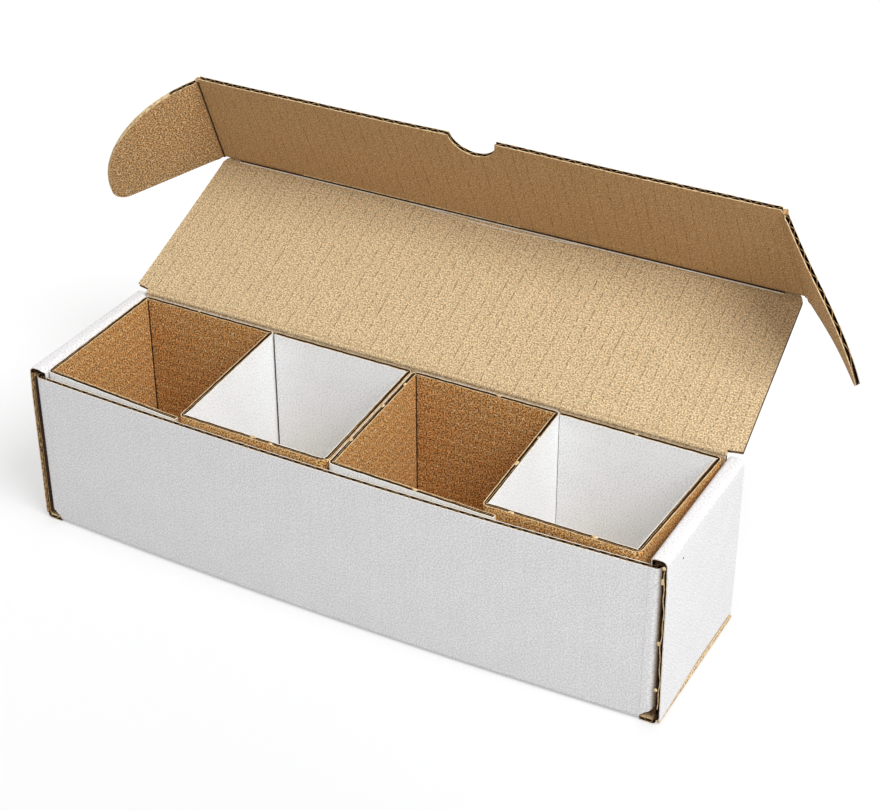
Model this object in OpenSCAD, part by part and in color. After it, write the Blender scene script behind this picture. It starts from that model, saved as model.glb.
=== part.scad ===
// Four-cell mailing box for plaster dental models, shown open.
// One sheet of corrugated board, white outside and kraft inside, is folded into the tray, its
// rolled ends, the lid, the tuck flap and the flap's two ears. Two loose strips of the same board
// are folded into S shapes and stand in the tray, where each makes two cells.
// X runs along the box, Y from the front wall to the back wall, and Z up from the face it rests on.

/* [Board] */
// Thickness of the corrugated board
board_t = 2.5; // [1.5:0.1:3.5]
// Gap left at a crease, so that the two panels turn freely
crease_gap = 0.3; // [0.2:0.05:0.8]
// Gap between a loose or tucked panel and what stands beside it
fit_gap = 0.3; // [0.1:0.05:1]
// Gap on each side of a dust flap in the hollow of a rolled end
hollow_gap = 0.15; // [0.1:0.05:1]

/* [Tray] */
// Outside length over the rolled ends
box_l = 320; // [240:1:420]
// Outside depth over the front and back walls
box_d = 84; // [70:1:130]
// Height of the rolled ends
end_h = 85; // [60:1:130]
// How far the front wall stops below the rolled ends
front_drop = 4; // [1:0.5:12]
// How far the middle of the front wall bows out
front_bow = 2.5; // [0.5:0.1:3.5]
// Length of a dust flap inside a rolled end
dust_l = 32; // [10:1:34]
// How far a dust flap stays below the ledge over it
dust_drop = 2; // [0.5:0.5:10]
// How far the locking tab and its slot stay from each end of a rolled end
tab_inset = 1.5; // [1.5:0.5:20]

/* [Lid] */
// Gap between the hanging tuck flap and the front wall when the lid is down
flap_gap = 4.5; // [4:0.5:12]
// Angle of the open lid above the level behind the box
lid_back = 26; // [0:0.5:60]
// How far the lid's sides stay inside the ends of the box at the hinge
lid_inset = 1.5; // [0:0.1:6]
// How far each side of the lid closes in towards its far end
lid_taper = 3.5; // [0:0.1:4]
// Depth of the cut at the lid's hinge corners, where it lies over the ledges
lid_relief = 1; // [0.5:0.5:12]
// Radius of the lid's far corners
lid_corner_r = 4; // [1:0.5:8]

/* [Tuck flap] */
// Height of the tuck flap from its crease to its free edge
flap_h = 62; // [45:1:80]
// Angle that the tuck flap is folded up from the plane of the lid
flap_fold = 91; // [0:0.5:91]
// How far the tuck flap's ends stay inside the ends of the box at its crease
flap_inset = 3.5; // [3:0.5:8]
// How far each end of the tuck flap closes in towards its free edge
flap_taper = 6; // [0:0.5:10]
// Radius of the thumb notch
notch_r = 12; // [6:0.5:16]
// How far the notch's centre lies above the free edge
notch_rise = 0.5; // [0:0.5:4]

/* [Ears] */
// Angle that each ear is folded in from the plane of the tuck flap
ear_fold = 48; // [0:1:50]
// Length of an ear from its crease to its tip
ear_l = 60; // [30:0.5:75]
// Radius of an ear's tip on the side towards the lid
ear_tip_r = 8; // [4:1:16]
// How far an ear stays from the ends of its crease
ear_relief = 1.6; // [1.6:0.1:10]
// Height of an ear's curved back at its crease
ear_curve_h = 60; // [30:1:60]

/* [Dividers] */
// Height of the dividers
divider_h = 82; // [50:1:82]
// Distance of the left divider's partition from the middle of the box
left_partition_x = 76.7; // [60:0.5:95]
// Distance of the right divider's partition from the middle of the box
right_partition_x = 74.3; // [60:0.5:95]
// How far the right divider stands off from the rolled end at its back
stand_off = 2; // [0.3:0.1:6]
// How much further the right divider stands off at its front
stand_off_skew = 3; // [0:0.1:6]
// How far the right divider's free front end runs past its partition
front_lap = 7.5; // [3:0.5:15]
// Gap between the left divider's free front end and its partition
front_gap = 0.5; // [0.3:0.1:4]
// How far the top of a free front end drops along its length
front_sag = 3.6; // [0:0.1:6]
// Gap between a divider's free back end and its partition
back_gap = 0.8; // [0.3:0.1:4]
// How much thicker a divider's crushed folds are than its board
fold_bulge = 0.2; // [0.1:0.05:0.25]

/* [Hidden] */
$fn = 64;
bow_steps = 24;
curve_steps = 20;
half_l = box_l / 2;
half_d = box_d / 2;
half_t = board_t / 2;
ledge_w = 3 * board_t + 2 * hollow_gap;
front_h = end_h - front_drop;
inner_x = half_l - ledge_w;
dust_x = half_l - board_t - hollow_gap - half_t;
dust_top = end_h - board_t - dust_drop;
wall_y = half_d - half_t;
inner_wall_d = box_d - 2 * board_t - 2 * fit_gap;
tab_l = box_d - 2 * board_t - 2 * tab_inset;
crease_start = half_t + crease_gap;
hinge_z = end_h + crease_gap + half_t;
hinge_half = inner_x - fit_gap;
lid_run = box_d + flap_gap;
lid_half = half_l - lid_inset;
lid_far_half = lid_half - lid_taper;
crease_half = lid_far_half - lid_corner_r;
flap_half = half_l - flap_inset;
flap_end_half = flap_half - flap_taper;
flap_slant = atan2(flap_taper, flap_h);
flap_side = norm([flap_taper, flap_h]);
divider_top = board_t + divider_h;
panel_y = half_d - board_t - fit_gap - half_t;
left_x = inner_x - fit_gap - half_t;
middle_x = fit_gap / 2 + half_t;
right_back_x = inner_x - stand_off - half_t;
right_front_x = right_back_x - stand_off_skew;
fold_d = board_t + fold_bulge;
left_front_end = -left_partition_x - half_t - front_gap;
right_front_end = right_partition_x + front_lap;

// How far the front wall bows out at x, a parabola that is flat at the middle.
function bow_at(x) = front_bow * (1 - pow(x / dust_x, 2));

// Distance of a divider's front from the middle of the box at x, where it lies against the front wall.
function front_y(x) = panel_y + bow_at(x);

// Points along the bowed wall, offset from its centre line, from left to right.
function bow_points(offset) =
    [for (i = [0:bow_steps]) let (x = dust_x * (2 * i / bow_steps - 1)) [x, -wall_y - bow_at(x) - offset]];

// Points along an arc.
function arc_points(centre, r, from, to) =
    [for (i = [0:curve_steps]) let (a = from + (to - from) * i / curve_steps) centre + r * [cos(a), sin(a)]];

// Turns a list of points round.
function backwards(list) = [for (i = [len(list) - 1:-1:0]) list[i]];

// One flat board between two points of its centre line, seen on edge.
module board_segment(from, to)
    translate(from)
        rotate(atan2(to[1] - from[1], to[0] - from[0]))
            translate([0, -half_t])
                square([norm(to - from), board_t]);

// A folded board seen on edge: flat lengths between the points and a round bend at each fold.
module board_path(points, bend_d = board_t) {
    for (i = [0:len(points) - 2])
        board_segment(points[i], points[i + 1]);
    if (len(points) > 2)
        for (i = [1:len(points) - 2])
            translate(points[i])
                circle(d = bend_d);
}

// Stands a profile drawn in X and Z along Y, centred, with the given depth.
module along_y(depth)
    translate([0, depth / 2, 0])
        rotate([90, 0, 0])
            linear_extrude(depth)
                children();

// A round crease along X.
module crease_x(half_length)
    rotate([0, 90, 0])
        cylinder(d = board_t, h = 2 * half_length, center = true);

// Bottom panel, whose front edge follows the bowed front wall.
module bottom_panel()
    linear_extrude(board_t)
        polygon(concat(bow_points(0), [[dust_x, wall_y], [-dust_x, wall_y]]));

// Front wall, bowed out, with the dust flaps that its ends fold back into.
module front_wall() {
    linear_extrude(front_h)
        polygon(concat(bow_points(half_t), backwards(bow_points(-half_t))));
    for (side = [-1, 1])
        translate([side * dust_x, -wall_y, 0])
            cylinder(d = board_t, h = front_h);
}

// Back wall, with a raised middle that carries the lid's crease between the ledges.
module back_wall() {
    linear_extrude(dust_top)
        board_path([[-dust_x, wall_y - dust_l], [-dust_x, wall_y], [dust_x, wall_y], [dust_x, wall_y - dust_l]]);
    translate([-hinge_half, half_d - board_t, 0])
        cube([2 * hinge_half, board_t, hinge_z]);
    translate([0, wall_y, hinge_z])
        crease_x(hinge_half);
}

// Dust flaps of the front wall, in the hollow of each rolled end.
module front_dust_flaps()
    for (side = [-1, 1])
        translate([side * dust_x - half_t, -wall_y, board_t])
            cube([board_t, dust_l, dust_top - board_t]);

// One rolled end: up from the bottom crease, over the ledge and down again inside.
module rolled_end() {
    along_y(box_d)
        board_path([
            [dust_x, half_t],
            [half_l - half_t, half_t],
            [half_l - half_t, end_h - half_t],
            [inner_x + half_t, end_h - half_t]
        ]);
    along_y(inner_wall_d)
        board_path([
            [half_l - half_t, end_h - half_t],
            [inner_x + half_t, end_h - half_t],
            [inner_x + half_t, half_t]
        ]);
}

// Slot along the bottom crease of a rolled end, drawn on its right side.
module tab_slot()
    translate([inner_x - fit_gap, -tab_l / 2 - fit_gap, -board_t])
        cube([ledge_w + fit_gap + board_t, tab_l + 2 * fit_gap, 2 * board_t + hollow_gap]);

// Locking tab at the foot of the inner end wall, bent out through the slot.
module locking_tab()
    along_y(tab_l)
        board_path([[inner_x + half_t, 2 * board_t], [inner_x + half_t, half_t], [half_l, half_t]]);

// The tray: one folded sheet, without the lid and its flaps.
module tray()
    color("white") {
        difference() {
            union() {
                bottom_panel();
                front_wall();
                back_wall();
                front_dust_flaps();
                for (turn = [0, 180])
                    rotate(turn)
                        rolled_end();
            }
            for (turn = [0, 180])
                rotate(turn)
                    tab_slot();
        }
        for (turn = [0, 180])
            rotate(turn)
                locking_tab();
    }

// Puts a piece into the lid's plane: Y runs from the hinge to the far crease, Z is the kraft side.
module on_lid()
    translate([0, wall_y, hinge_z])
        rotate([lid_back, 0, 0])
            children();

// Puts a piece into the tuck flap's plane: Y runs from its crease to its free edge.
module on_flap()
    on_lid()
        translate([0, lid_run, 0])
            rotate([flap_fold, 0, 0])
                children();

// Puts a piece into the right ear's plane: Y runs along its crease and X out to its tip.
module on_ear()
    translate([flap_half, 0, 0])
        rotate(flap_slant)
            rotate([0, -ear_fold, 0])
                children();

// A flat panel of board, centred on its own middle plane.
module panel()
    translate([0, 0, -half_t])
        linear_extrude(board_t)
            children();

// Right half of the lid's outline, from the hinge to the far crease.
module lid_half_outline()
    polygon(concat(
        [
            [0, crease_start],
            [hinge_half, crease_start],
            [lid_half, crease_start + lid_relief]
        ],
        arc_points([crease_half, lid_run - lid_corner_r], lid_corner_r, 0, 90),
        [[0, lid_run]]
    ));

// The lid, open and leaning back, with the round crease that the tuck flap turns on.
module lid()
    color("burlywood")
        on_lid() {
            panel() {
                lid_half_outline();
                mirror([1, 0])
                    lid_half_outline();
            }
            translate([0, lid_run, 0])
                crease_x(crease_half);
        }

// The tuck flap, with its thumb notch and the round creases that the ears turn on.
module tuck_flap()
    color("burlywood")
        on_flap() {
            difference() {
                panel()
                    polygon([
                        [-flap_half, crease_start],
                        [flap_half, crease_start],
                        [flap_end_half, flap_h],
                        [-flap_end_half, flap_h]
                    ]);
                translate([0, flap_h + notch_rise, 0])
                    cylinder(r = notch_r, h = 2 * board_t, center = true);
            }
            for (side = [0, 1])
                mirror([side, 0, 0])
                    translate([flap_half, 0, 0])
                        rotate(flap_slant)
                            translate([0, ear_relief, 0])
                                rotate([-90, 0, 0])
                                    cylinder(d = board_t, h = flap_side - 2 * ear_relief);
        }

// Outline of an ear: straight towards the lid, round at the tip, and a quarter of an ellipse back.
module ear_outline() {
    low = ear_relief + fit_gap;
    curve_from = low + ear_tip_r;
    polygon(concat(
        [[crease_start, low]],
        arc_points([ear_l - ear_tip_r, curve_from], ear_tip_r, -90, 0),
        [
            for (i = [1:curve_steps])
                let (a = 90 * i / curve_steps)
                    [
                        crease_start + (ear_l - crease_start) * cos(a),
                        curve_from + (ear_curve_h - curve_from) * sin(a)
                    ]
        ]
    ));
}

// The right ear, in its own plane.
module ear()
    color("burlywood")
        panel()
            ear_outline();

module ear_right()
    on_flap()
        on_ear()
            ear();

module ear_left()
    on_flap()
        mirror([1, 0, 0])
            on_ear()
                ear();

// Free front panel of a divider, whose top edge drops from its corner fold to its free end.
module free_front(corner_x, end_x)
    difference() {
        translate([0, 0, board_t])
            linear_extrude(divider_h)
                board_segment([corner_x, -front_y(corner_x)], [end_x, -front_y(end_x)]);
        along_y(2 * box_d)
            polygon([
                [corner_x + fold_d, divider_top],
                [end_x + board_t, divider_top - front_sag],
                [end_x + board_t, 2 * divider_top],
                [corner_x + fold_d, 2 * divider_top]
            ]);
    }

// One divider: a strip folded into an S, with a cell in each of its two bays.
module divider(left, partition, partition_front_y, front_end, right_front, right_back) {
    free_front(left, front_end);
    translate([0, 0, board_t])
        linear_extrude(divider_h)
            board_path([
                [left, -front_y(left)],
                [left, panel_y],
                [partition, panel_y],
                [partition, -partition_front_y],
                [right_front, -front_y(right_front)],
                [right_back, panel_y],
                [partition + half_t + back_gap, panel_y]
            ], fold_d);
    translate([left, -front_y(left), board_t])
        cylinder(d = fold_d, h = divider_h);
}

// The left divider's free front ends at its partition, which stands right behind the front wall.
module divider_left()
    color("wheat")
        divider(
            -left_x, -left_partition_x, front_y(left_partition_x), left_front_end, -middle_x, -middle_x
        );

// The right divider's free front runs past its partition, which stands back behind it.
module divider_right()
    color("tan")
        divider(
            middle_x, right_partition_x, front_y(right_front_end) - board_t - fit_gap - fold_bulge,
            right_front_end, right_front_x, right_back_x
        );

tray();
lid();
tuck_flap();
ear_left();
ear_right();
divider_left();
divider_right();
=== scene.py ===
"""Mailing box of corrugated board for dental models, open, with two folded dividers in it.

Every piece is a folded board: two paper liners with the wavy fluting between them. Lengths inside
the file are in millimetres, and become metres when a mesh is made. X runs along the box, Y from
its front wall to its back wall, and Z up. A sheet has its own s along it, v across it and w off
the board's middle, and its place(s, v, w) gives x, y and z.
"""

import bpy
import numpy as np
from mathutils import Matrix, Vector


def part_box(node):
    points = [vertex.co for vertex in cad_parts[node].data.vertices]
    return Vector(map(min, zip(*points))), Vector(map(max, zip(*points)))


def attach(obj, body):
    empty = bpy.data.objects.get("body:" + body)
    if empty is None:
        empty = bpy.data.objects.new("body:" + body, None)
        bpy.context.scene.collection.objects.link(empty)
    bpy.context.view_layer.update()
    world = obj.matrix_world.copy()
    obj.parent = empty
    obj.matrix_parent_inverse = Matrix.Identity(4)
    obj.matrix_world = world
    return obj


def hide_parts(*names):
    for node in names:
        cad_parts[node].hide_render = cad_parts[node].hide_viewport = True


bl_info = {
    "name": "Four-cell mailing box",
    "version": (1, 0, 0),
    "blender": (4, 2, 0),
    "location": "3D View > Sidebar > Mailing Box",
    "description": "Builds the folded boards of an open mailing box and its studio",
    "category": "Object",
}

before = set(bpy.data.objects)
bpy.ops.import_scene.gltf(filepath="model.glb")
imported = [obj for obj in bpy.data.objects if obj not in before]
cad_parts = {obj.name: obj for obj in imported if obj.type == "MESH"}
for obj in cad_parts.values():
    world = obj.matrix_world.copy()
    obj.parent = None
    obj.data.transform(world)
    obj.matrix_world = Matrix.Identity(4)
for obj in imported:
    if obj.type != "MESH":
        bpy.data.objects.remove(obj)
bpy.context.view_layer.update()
MM = 1000.0  # millimetres to the metre
TRAY_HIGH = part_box("tray")[1]
# The board's finishes, in the order of a piece's materials.
SKINS = ("kraft", "white", "fluting", "kraft_cut", "white_cut", "fluting_cut")

# Lengths that several pieces share, in millimetres.
GAP = 0.3  # left free at a crease, and between a divider and a wall
SLIT = 0.15  # half of what is left free between two boards that stand side by side
HAIR = 0.02  # keeps two faces from lying in each other
START = 1.3  # from a crease's axis to the board of the panel beside it
CREASE_R = 1.48  # radius of a round crease
END_FOLD_R = 1.4  # radius of the folds at the ends of the tray
DUST_FLAP = 32  # length of a dust flap
LID_INSET, LID_TAPER = 1.5, 3.5  # how far the lid's sides stay in from the ends, and lean in
FLAP_INSET, FLAP_TAPER = 3.5, 6.0  # the same of the tuck flap
FAN_FROM = 100  # distance from the middle where those tapers begin
SEEN = 16.0  # how far below a raw edge the fluting can be seen
FOLD_STEPS = 8  # straight steps that make up a fold
FLUTE_STEPS = 12  # straight steps that make up a flute
CHART_STEP = 37.0  # shift from one sheet's chart to the next, so that no grain repeats
SHARP = 32  # degrees between two faces whose edge is drawn sharp


def linear(text):
    """Turns an sRGB hex colour into linear red, green and blue."""
    srgb = np.array([int(text[k:k + 2], 16) for k in (1, 3, 5)]) / 255
    return np.where(srgb <= 0.04045, srgb / 12.92, ((srgb + 0.055) / 1.055) ** 2.4).tolist()


def length(name, description, default, low=0.0, high=1.0):
    """A length in metres, given in millimetres."""
    return bpy.props.FloatProperty(
        name=name, description=description, default=default / MM, min=low / MM, max=high / MM,
        unit="LENGTH", precision=5,
    )


def angle(name, description, default):
    """An angle in radians, given in degrees."""
    return bpy.props.FloatProperty(
        name=name, description=description, default=float(np.radians(default)), subtype="ANGLE"
    )


def colour(name, description, default):
    """A colour, given as sRGB hex."""
    return bpy.props.FloatVectorProperty(
        name=name, description=description, default=linear(default), size=3, min=0.0, max=1.0,
        subtype="COLOR",
    )


def strength(name, description, default, unit="NONE"):
    """The strength of a light: a lamp's power, or a plain number."""
    return bpy.props.FloatProperty(name=name, description=description, default=default, unit=unit)


class BoardSettings(bpy.types.PropertyGroup):
    """Sizes of the corrugated board."""

    thickness: length("Thickness", "Thickness of the board", 2.5, 1, 6)
    liner: length("Liner", "Thickness of each paper liner, drawn thick to show", 0.42, 0.1, 1)
    medium: length("Fluting", "Thickness of the fluting paper, drawn thick too", 0.3, 0.1, 1)
    pitch: length("Flute pitch", "Distance between two flutes", 5.8, 2, 12)
    fold_radius: length("Fold radius", "Radius of a fold at the board's middle", 1.35, 0.5, 6)
    unevenness: length("Unevenness", "How far a panel strays from flat", 0.25, 0, 2)


class BoxSettings(bpy.types.PropertyGroup):
    """Sizes of the tray, the lid, the tuck flap and the ears."""

    half_length: length("Half length", "Half the box's length", TRAY_HIGH.x * MM, 50, 400)
    half_depth: length("Half depth", "Half the box's depth", TRAY_HIGH.y * MM, 20, 200)
    end_height: length("End height", "Height of the rolled ends", 85, 20, 300)
    front_height: length("Front height", "Height of the front wall", 80, 20, 300)
    bow: length("Front bow", "How far the front wall's middle bows out", 4.0, 0, 10)
    flare: length("Left flare", "How far the left end's front edge stands off", 0.9, 0, 6)
    lid_angle: angle("Lid angle", "Angle of the open lid above the level", 26)
    flap_angle: angle("Tuck flap fold", "Angle that the tuck flap is folded up from the lid", 91)
    ear_angle: angle("Ear fold", "Angle that each ear is folded in from the tuck flap", 48)
    lid_run: length("Lid run", "Distance between the lid's two creases", 88.5, 20, 300)
    flap_height: length("Tuck flap height", "Tuck flap's height over its crease", 62, 10, 200)
    notch: length("Thumb notch", "Radius of the thumb notch", 12, 2, 40)
    ear_length: length("Ear length", "Length of an ear from its crease", 60, 10, 150)


class DividerSettings(bpy.types.PropertyGroup):
    """Sizes of the two folded dividers."""

    top: length("Top", "Height of the dividers' raw upper edges", 84.5, 20, 300)
    left_partition: length("Left partition", "How far left of the middle it stands", 76.7, 20, 150)
    right_partition: length("Right partition", "How far right of the middle", 74.3, 20, 150)
    lean: length("Lean", "How far a partition's back stands left of its front", 3.2, 0, 10)
    sag: length("Free end sag", "How far a free front end's top drops", 2.8, 0, 10)


class FinishSettings(bpy.types.PropertyGroup):
    """Colours of the papers and of the studio."""

    # The lid's kraft is the flap's paper, painted paler: the paleness is painted sheen of light
    # grazing the lid, and the tray's kraft takes it too.
    sheen_painted_kraft: colour("Lid kraft", "Brown paper inside the lid and the tray, the palest", "#D2B890")
    kraft: colour("Kraft liner", "Unbleached brown paper of the tuck flap", "#BF9868")
    ear_kraft: colour("Ear kraft", "Brown paper of the ears, where light grazes it", "#BF9868")
    divider_kraft: colour("Divider kraft", "Brown paper of the dividers, the warmest", "#CC9A5D")
    fibre: colour("Kraft fibre", "Dark fibres in the brown paper", "#6E4A28")
    fleck: colour("Kraft fleck", "Light flecks in the brown paper", "#E9CFA4")
    white: colour("White top liner", "Bleached paper outside the box", "#EDECED")
    divider_white: colour("Divider white", "Bleached paper of the dividers", "#FDFEFF")
    shade: colour("White mottle", "Faint grey mottle in the white paper", "#C9C8CA")
    # The fluting's colour is darkened nearly to black: painted shade of the flutes' hollows, which
    # the liners' inner faces and the dark beads share.
    fluting: colour("Fluting", "Recycled paper of the flutes, in the board's dark", "#2B1C10")
    kraft_cut: colour("Kraft cut", "Cut edge of the brown paper", "#EBD3A8")
    white_cut: colour("White cut", "Cut edge of the white paper", "#F3F0EA")
    floor: colour("Floor", "Pale studio floor", "#C6C6C6")


class StudioSettings(bpy.types.PropertyGroup):
    """Strength of the studio's light."""

    key: strength("Key lamp", "Power of the soft lamp above and at the right", 29.0, "POWER")
    sky: strength("Sky", "Strength of the even light from all sides", 0.62)
    near_lift: strength("Near floor lift", "How far the near floor is lifted to white", 0.31)
    far_lift: strength("Far floor lift", "How far the distant floor is lifted to white", 0.62)


# ---------------------------------------------------------------------------------------------
# Surfaces


def fold(points, radius, steps=FOLD_STEPS):
    """Folded strip seen on edge: straight panels joined by arcs.

    At each corner the arc starts at the corner less radius x tan(half the turn) along the panel,
    and its points are centre - side x radius x n, where n is the left normal turned by 0 to the
    whole turn. Returns the distance along the strip, the points, and their left normals.
    """
    points = np.asarray(points, float)
    legs = np.diff(points, axis=0)
    along = legs / np.hypot(legs[:, 0], legs[:, 1])[:, None]
    left = np.stack([-along[:, 1], along[:, 0]], 1)
    turn = np.arctan2(
        along[:-1, 0] * along[1:, 1] - along[:-1, 1] * along[1:, 0], (along[:-1] * along[1:]).sum(1)
    )
    radius = np.broadcast_to(np.asarray(radius, float), turn.shape)
    reach = radius * np.tan(np.abs(turn) / 2)
    bent = (np.sign(turn) * radius)[:, None]
    centre = points[1:-1] - along[:-1] * reach[:, None] + bent * left[:-1]
    turned = turn[:, None] * np.linspace(0, 1, steps + 1)
    normal = (
        np.cos(turned)[..., None] * left[:-1, None] - np.sin(turned)[..., None] * along[:-1, None]
    )
    arc = centre[:, None] - bent[:, None] * normal
    path = np.concatenate([points[:1], arc.reshape(-1, 2), points[-1:]])
    normals = np.concatenate([left[:1], normal.reshape(-1, 2), left[-1:]])
    step = np.hypot(*np.diff(path, axis=0).T)
    return np.concatenate([[0], np.cumsum(step)]), path, normals


def follow(strip, s, w):
    """Point of a folded strip at distance s along it and w off its middle, to its left."""
    known, path, normals = strip
    normal = np.stack([np.interp(s, known, normals[:, k]) for k in (0, 1)])
    normal /= np.hypot(normal[0], normal[1])
    return [np.interp(s, known, path[:, k]) + w * normal[k] for k in (0, 1)]


def slab(place, s, low, high, rows, under, over, skins, swap=False):
    """Closed sheet over a grid: v goes from low(s) to high(s) and w from under(s, v) to over(s, v).

    place(s, v, w) gives x, y and z. The grid is laid once over and once under, its four sides are
    joined by a rim, and the whole is turned inside out where its signed volume is negative. skins
    names the finish, or the three of the upper face, the lower face and the rim.
    """
    skins = (skins,) * 3 if isinstance(skins, str) else skins
    s, rows = np.meshgrid(s, rows, indexing="ij")
    v = low(s) + (high(s) - low(s)) * rows
    layers = [
        np.stack(np.broadcast_arrays(*place(s, v, w(s, v) + 0 * s)), -1) for w in (over, under)
    ]
    count = s.size
    index = np.arange(count).reshape(s.shape)
    quads = np.stack([index[:-1, :-1], index[1:, :-1], index[1:, 1:], index[:-1, 1:]], -1)
    quads = quads.reshape(-1, 4)
    ring = np.concatenate([index[:, 0], index[-1, 1:], index[-2::-1, -1], index[0, -2:0:-1]])
    after = np.roll(ring, -1)
    rim = np.stack([ring, ring + count, after + count, after], -1)
    faces = np.concatenate([quads, quads[:, ::-1] + count, rim])
    points = np.concatenate(layers).reshape(-1, 3)
    a, b, c, d = (points[faces[:, k]] - points.mean(0) for k in range(4))
    volume = (a * (np.cross(b, c) + np.cross(c, d))).sum()
    chart = np.stack([v, s] if swap else [s, v], -1).reshape(-1, 2)
    return {
        "points": points,
        "faces": faces if volume > 0 else faces[:, ::-1],
        "chart": np.concatenate([chart, chart]),
        "skins": np.repeat([SKINS.index(k) for k in skins], [len(quads), len(quads), len(rim)]),
    }


def flat(value):
    """A level that is the same everywhere."""
    return lambda *at: value + 0 * at[0]


def steps_between(low, high, step):
    """Evenly spaced values from low to high, about one step apart."""
    return np.linspace(low, high, max(2, int(np.ceil((high - low) / step)) + 1))


def bead(place, start, end, radius, up, down=None):
    """Round crease: w is plus and minus the root of radius squared less v squared."""

    def rise(p, q):
        """Half the thickness of the round at q off its axis."""
        return np.sqrt(np.maximum(radius ** 2 - q ** 2, 0)) + HAIR

    return slab(
        place, steps_between(start, end, 12.0), flat(-radius), flat(radius),
        0.5 - np.cos(np.linspace(0, np.pi, 13)) * 0.5, lambda p, q: -rise(p, q), rise,
        (up, down or up, up), True,
    )


def fleck(place, spot, skin):
    """Torn fleck on a raw edge: a lens at s, v and w, with half its length and width, and its rise.

    Its height is the rise x the root of what is left of one after the squares of the two shares,
    along and across, and its half width likewise after the square of the share along.
    """
    s, v, w, long, wide, tall = spot

    def half_width(q):
        """Half the fleck's width at q along it."""
        return wide * np.sqrt(np.maximum(1 - (q / long) ** 2, 0.02))

    def rise(q, r):
        """Height of the fleck over the edge."""
        return tall * np.sqrt(np.maximum(1 - (q / long) ** 2 - (r / wide) ** 2, 0.01))

    return slab(
        lambda q, r, h: place(s + q, v + h, w + r),
        -np.cos(np.linspace(0.15, np.pi - 0.15, 7)) * long, lambda q: -half_width(q), half_width,
        np.linspace(0, 1, 6), lambda q, r: -rise(q, r), rise, skin,
    )


def crease_lines(q, at, ridge=0.22, groove=0.35):
    """Bead and groove that the scoring wheel leaves in a liner: bells 3 mm and 1 mm from at."""
    near = np.abs(q - at)
    return ridge * np.exp(-((near - 3.0) / 1.3) ** 2) - groove * np.exp(-((near - 1.0) / 0.8) ** 2)


def stray(p, q, seed, size):
    """Slight unevenness of a panel: three long sines across each other, with seeded phases."""
    turn = np.random.default_rng(seed).uniform(0, 2 * np.pi, 6)
    return size * (
        np.sin(p / 31 + turn[0]) * np.cos(q / 37 + turn[1])
        + 0.6 * np.sin(p / 17 + turn[2]) * np.cos(q / 23 + turn[3])
        + 0.4 * np.sin(p / 71 + turn[4]) * np.cos(q / 53 + turn[5])
    )


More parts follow.
